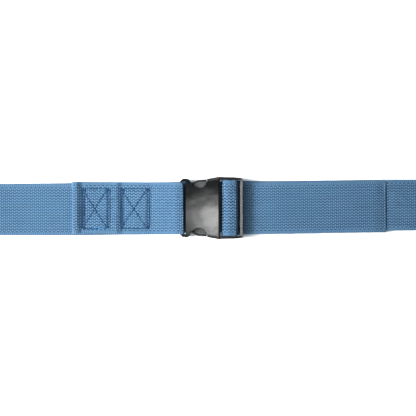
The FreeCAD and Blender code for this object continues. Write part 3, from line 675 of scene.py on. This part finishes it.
right_route = Route(
    (16.0 * MM, STRAP_LEVEL),
    (CURL_RIGHT - CURL_START, STRAP_LEVEL, RISE_BEND),
    (CURL_RIGHT, CURL_TOP, CURL_BEND),
    (CURL_RIGHT, FLOOR_LEVEL, CURL_BEND),
    (SPLIT, FLOOR_LEVEL),
)
back_route = Route((-SPLIT, FLOOR_LEVEL), (SPLIT, FLOOR_LEVEL))

# How the strap wanders sideways (centre), how wide it lies (half) and how it leans (skew): each is a
# function of the length along its route.
LEFT_END = -2.3 * MM                              # centre where the left run meets the back run
RIGHT_END = 4.2 * MM                              # and where the right run does
SLOT_HALF = 27.2 * MM                             # the webbing spreads in the ladder lock's slots
flap_fold, flap_turn = flap_route.marks[0], flap_route.marks[8]      # at the hem, and round the bar


def flap_centre(s):
    return eased(s, (0, 0.0), (flap_fold, 0.5 * MM), (flap_fold + 18 * MM, 0.3 * MM),
                 (flap_turn - 20 * MM, -0.35 * MM), (flap_turn - 3.5 * MM, -0.45 * MM),
                 (flap_turn - 0.5 * MM, -0.85 * MM), (flap_route.length, -0.8 * MM))


def flap_half(s):
    return eased(s, (0, HALF), (flap_fold, HALF + 0.25 * MM), (flap_turn - 30 * MM, HALF + 0.45 * MM),
                 (flap_turn - 3.5 * MM, HALF + 0.3 * MM), (flap_turn - 0.5 * MM, HALF - 0.3 * MM),
                 (flap_route.length, HALF - 0.3 * MM))


def left_centre(s):
    return eased(s, (0, -0.9 * MM), (120 * MM, -1.85 * MM), (left_route.length, LEFT_END))


def tail_centre(s):
    x = tail_route.at(s)[0]
    return eased(x, (SLOT_TURN, 0.0), (26 * MM, -0.1 * MM), (44 * MM, -0.35 * MM), (171 * MM, 1.15 * MM))


def tail_half(s):
    x = tail_route.at(s)[0]
    return eased(x, (SLOT_TURN, SLOT_HALF), (23.8 * MM, SLOT_HALF), (27 * MM, 26.0 * MM),
                 (48 * MM, HALF + 0.2 * MM), (171 * MM, HALF + 0.1 * MM))


def right_centre(s):
    return eased(s, (0, 0.0), (26 * MM, 1.5 * MM), (180 * MM, 2.9 * MM), (right_route.length, RIGHT_END))


def right_half(s):
    return eased(s, (0, SLOT_HALF), (26 * MM, HALF), (160 * MM, HALF), (200 * MM, HALF - 0.3 * MM),
                 (right_route.length, HALF))


def back_centre(s):
    return LEFT_END + (RIGHT_END - LEFT_END) * s / back_route.length


def flap_skew(s):
    return eased(s, (0, 0.0), (flap_turn - 8 * MM, 0.0), (flap_turn, -0.5 * MM),
                 (flap_turn + 6 * MM, -0.3 * MM), (flap_route.length, 0.0))


# What moves the face up or down, in the plane: x in metres, v from -1 to 1 across the strip.
hem_lines = stitch_lines(hem_low, hem_high)
inner_lines = stitch_lines(inner_low, inner_high)


def flap_press(x, y):
    """How far the stitches pull the flap down."""
    depth, reach = 0.32 * MM, 0.8 * MM
    return depth * np.exp(-(near_lines(x, y, hem_lines + inner_lines) / reach) ** 2)


def between(x, start, end, ramp=0.03):
    """1 from start to end and 0 outside, with a ramp inside each of them."""
    return np.clip((x - start) / ramp, 0, 1) * np.clip((end - x) / ramp, 0, 1)


def rest_lift(x, v):
    """The strap doesn't lie dead flat: long shallow waves, and its edges ride up a little."""
    wave = 0.5 + 0.5 * np.sin(2 * math.pi * x / 0.083 + 0.8 * v)
    return between(np.abs(x), 0.150, 0.300) * (0.55 * MM * wave + 0.25 * MM * v * v)


def bar_lift(x, v):
    """The sewn stack leaves the floor on its way up to the receptacle's bar."""
    return eased(x, (-0.105, 0.0), (-0.060, 2.2 * MM), (-0.0345, 0.0), (0.0, 0.0))


def left_lift(x, v):
    return rest_lift(x, v) + bar_lift(x, v) * (np.abs(x) < 0.2)


def tail_lift(x, v):
    """The loose tail waves too, and its cut end presses down on the strap."""
    wave = 0.5 + 0.5 * np.sin(2 * math.pi * x / 0.071 + 1.1 * v + 2.0)
    drop = 0.35 * MM * np.clip((x - 0.160) / 0.009, 0, 1)
    return between(x, 0.040, 0.166) * (0.40 * MM * wave + 0.2 * MM * v * v) - drop


JOIN = 8 * MM                                     # no relief this near to where two lengths meet
flap = strip("webbing_flap", flap_route, 1, [(flap_fold - 3 * MM, flap_route.length)],
             flap_centre, half=flap_half, skew=flap_skew, press=flap_press, lift=bar_lift)
left_run = strip("webbing_left_run", left_route, -1, [(1.5 * JOIN, left_route.length - JOIN)],
                 left_centre, lift=left_lift)
tail = strip("webbing_tail", tail_route, -1, [(-RELIEF_RAMP, tail_route.marks[4] + 1 * MM)],
             tail_centre, half=tail_half, lift=tail_lift, sealed=True)
right_run = strip("webbing_right_run", right_route, 1, [(JOIN, right_route.length - JOIN)],
                  right_centre, half=right_half, lift=rest_lift)
back_run = strip("webbing_back_run", back_route, -1, [], back_centre)

blue = webbing_material()
for piece in (flap, left_run, tail, right_run, back_run):
    piece.data.materials.append(blue)

for piece in (flap, left_run):
    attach(piece, "receptacle")
    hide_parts("webbing_receptacle_side")
for piece in (tail, right_run):
    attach(piece, "plug")
    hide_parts("webbing_plug_side")
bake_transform(back_run)
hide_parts("webbing_receptacle_side", "webbing_plug_side")

# ================================================================ the two sewn boxes
path_x, path_z, _ = flap_route.at(np.linspace(flap_route.marks[2], flap_turn, 900))   # its upper layer


def flap_top(x):
    """Height of the flap's woven face at x, pressed down by its stitches."""
    return float(np.interp(x, path_x, path_z) + bar_lift(np.array(x), 0)) + FACE_HEIGHT


BOBBIN_LEVEL = STRAP_LEVEL - THICKNESS / 2 - 0.12 * MM
chance = random.Random(7)
hem_thread = sewn("hem_thread", hem_lines, flap_top, BOBBIN_LEVEL, chance)
inner_thread = sewn("inner_thread", inner_lines, flap_top, BOBBIN_LEVEL, chance)
thread_blue = thread_material("thread_blue", *THREAD_BLUE)
for piece, node in ((hem_thread, "hem_stitching"), (inner_thread, "inner_stitching")):
    piece.data.materials.append(thread_blue)
    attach(piece, "receptacle")
    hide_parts(node)

# The loose end of the hem's thread lies along the bottom of its box.
LOOSE_START, LOOSE_LENGTH, LOOSE_RADIUS, LOOSE_RINGS = 9.4 * MM, 10.4 * MM, 0.36 * MM, 25
hem_bottom = hem_lines[0][0][1]
loose_points = []
for t in np.linspace(0, 1, LOOSE_RINGS):
    x = hem_low.x + LOOSE_START + LOOSE_LENGTH * t
    loose_points.append((x, hem_bottom + (0.4 + 0.5 * math.sin(5 * t)) * MM,
                         flap_top(x) + (0.45 + 0.25 * math.sin(math.pi * t)) * MM))
loose_end = thread_object("loose_thread_end", *tube(loose_points, [LOOSE_RADIUS] * LOOSE_RINGS))
loose_end.data.materials.append(thread_material("thread_pale", *THREAD_PALE))
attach(loose_end, "receptacle")

# ================================================================ the buckle
END_BAR = (2.9 * MM, 0.4 * MM)                    # its grained top, measured back from the plug's end
END_BAR_HALF = 27.4 * MM
END_BAR_TOP = 11.0 * MM
BAR_SKIN = 0.5 * MM                               # the grain reaches this far to each side of that level
PAD_SKIN = 0.03 * MM                              # and this far below the top of a pad
PAD_LENGTH = 17 * MM
bar_grip = ((plug_high.x - END_BAR[0], -END_BAR_HALF, END_BAR_TOP - BAR_SKIN),
            (plug_high.x - END_BAR[1], END_BAR_HALF, END_BAR_TOP + BAR_SKIN))
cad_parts["receptacle_body"].material_slots[0].material = buckle_material("moulded_black")
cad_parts["plug_frame"].material_slots[0].material = buckle_material(
    "moulded_black_barred", bar_grip, BAR_GRAIN_AND_SHEEN, polish=0.34, shine=0.14)
for node in ("prong_upper", "prong_lower"):
    pad_low, pad_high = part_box(node)
    pad_grip = ((pad_low.x - MM, pad_low.y, pad_high.z - PAD_SKIN),
                (pad_low.x + PAD_LENGTH, pad_high.y, pad_high.z + MM))
    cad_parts[node].material_slots[0].material = buckle_material("grained_" + node, pad_grip)

# ================================================================ floor, light, camera
REACH = 6.0                                       # of the floor, to each side
floor_mesh = bpy.data.meshes.new("floor")
floor_mesh.from_pydata([(-REACH, -REACH, 0), (REACH, -REACH, 0), (REACH, REACH, 0), (-REACH, REACH, 0)],
                       [], [(0, 1, 2, 3)])
floor = add_object("floor", floor_mesh)
floor.location.z = cad_box[0].z - 0.05 * MM
floor_mesh.materials.append(floor_material())


def softbox(name, place, target, size, power, spread=180):
    """A rectangular area light aimed at a point, its beam as wide as spread, in degrees."""
    data = bpy.data.lights.new(name, "AREA")
    data.shape = "RECTANGLE"
    data.size, data.size_y = size
    data.energy = power
    data.spread = math.radians(spread)
    lamp = add_object(name, data)
    lamp.location = place
    lamp.rotation_euler = (Vector(target) - Vector(place)).to_track_quat("-Z", "Y").to_euler()
    return lamp


key = softbox("key", (-0.66, 0.0, 0.36), (0.08, 0, 0), (0.28, 0.28), 2.2, spread=46)
side = softbox("side", (-0.52, 0.0, 0.80), (0.06, 0, 0), (0.40, 0.60), 5.2)
for lamp in (key, side):
    lamp.visible_glossy = False                   # these two shape the webbing only

CARD_HEIGHT = 1.05


def card(name, x_span, y_span, glow):
    """A level card overhead that the plastic mirrors and that lights nothing else; glow is watts per
    square metre."""
    middle = [sum(span) / 2 for span in (x_span, y_span)]
    size = [high - low for low, high in (x_span, y_span)]
    lamp = softbox(name, (*middle, CARD_HEIGHT), (*middle, 0), size, glow * size[0] * size[1])
    lamp.visible_diffuse = False


CARD_EDGES = (-0.20, -0.09, -0.03, 0.04, 0.20)    # side by side along X, brighter to the right
CARD_ROWS = (("near", (-0.15, -0.05), (18, 30, 54, 86)),      # name, reach along Y, glow of each card
             ("far", (-0.05, 0.018), (26, 42, 60, 76)))
for row, y_span, glows in CARD_ROWS:
    for k, glow in enumerate(glows):
        card(f"card_{row}_{k}", CARD_EDGES[k:k + 2], y_span, glow)

# The room: a pale ring of light above, dark walls that the buckle mirrors, a near-white backdrop.
SKY = [(0.0, 0.20), (0.25, 0.60), (0.40, 1.25), (0.62, 1.25), (0.80, 0.32), (1.0, 0.05)]    # height, glow
SKY_TOP = 2.0
SKY_TINT = (0.80, 0.92, 1.0, 1)
BACKDROP = 0.92
world = bpy.data.worlds.new("studio")
world.use_nodes = True
sky = world.node_tree

direction = sky.nodes.new("ShaderNodeTexCoord")
split = sky.nodes.new("ShaderNodeSeparateXYZ")
ring = sky.nodes.new("ShaderNodeFloatCurve")
path = sky.nodes.new("ShaderNodeLightPath")
choice = sky.nodes.new("ShaderNodeMix")
scaled = sky.nodes.new("ShaderNodeMath")
scaled.operation = "MULTIPLY"
scaled.inputs[1].default_value = SKY_TOP
choice.inputs["B"].default_value = BACKDROP

curve = ring.mapping.curves[0]
while len(curve.points) < len(SKY):
    curve.points.new(0.5, 0.5)
for point, (height, glow) in zip(curve.points, SKY):
    point.location = (height, glow / SKY_TOP)
    point.handle_type = "VECTOR"
ring.mapping.update()

sky.links.new(direction.outputs["Generated"], split.inputs["Vector"])
sky.links.new(split.outputs["Z"], ring.inputs["Value"])
sky.links.new(ring.outputs["Value"], scaled.inputs[0])
sky.links.new(path.outputs["Is Camera Ray"], choice.inputs["Factor"])
sky.links.new(scaled.outputs[0], choice.inputs["A"])
sky.links.new(choice.outputs["Result"], sky.nodes["Background"].inputs["Strength"])
sky.nodes["Background"].inputs["Color"].default_value = SKY_TINT
bpy.context.scene.world = world
bpy.context.scene.view_settings.view_transform = "Standard"

LENS, SENSOR = 85.0, 36.0
VIEW_WIDTH = 0.4077                               # how much of the strap the picture spans
VIEW_LEVEL = 4 * MM                               # at this height above the floor
VIEW_CENTRE = -0.0034
lens = bpy.data.cameras.new("camera")
lens.lens = LENS
lens.sensor_width = SENSOR
camera = add_object("camera", lens)
camera.location = (VIEW_CENTRE, 0, VIEW_WIDTH * LENS / SENSOR + VIEW_LEVEL)
bpy.context.scene.camera = camera
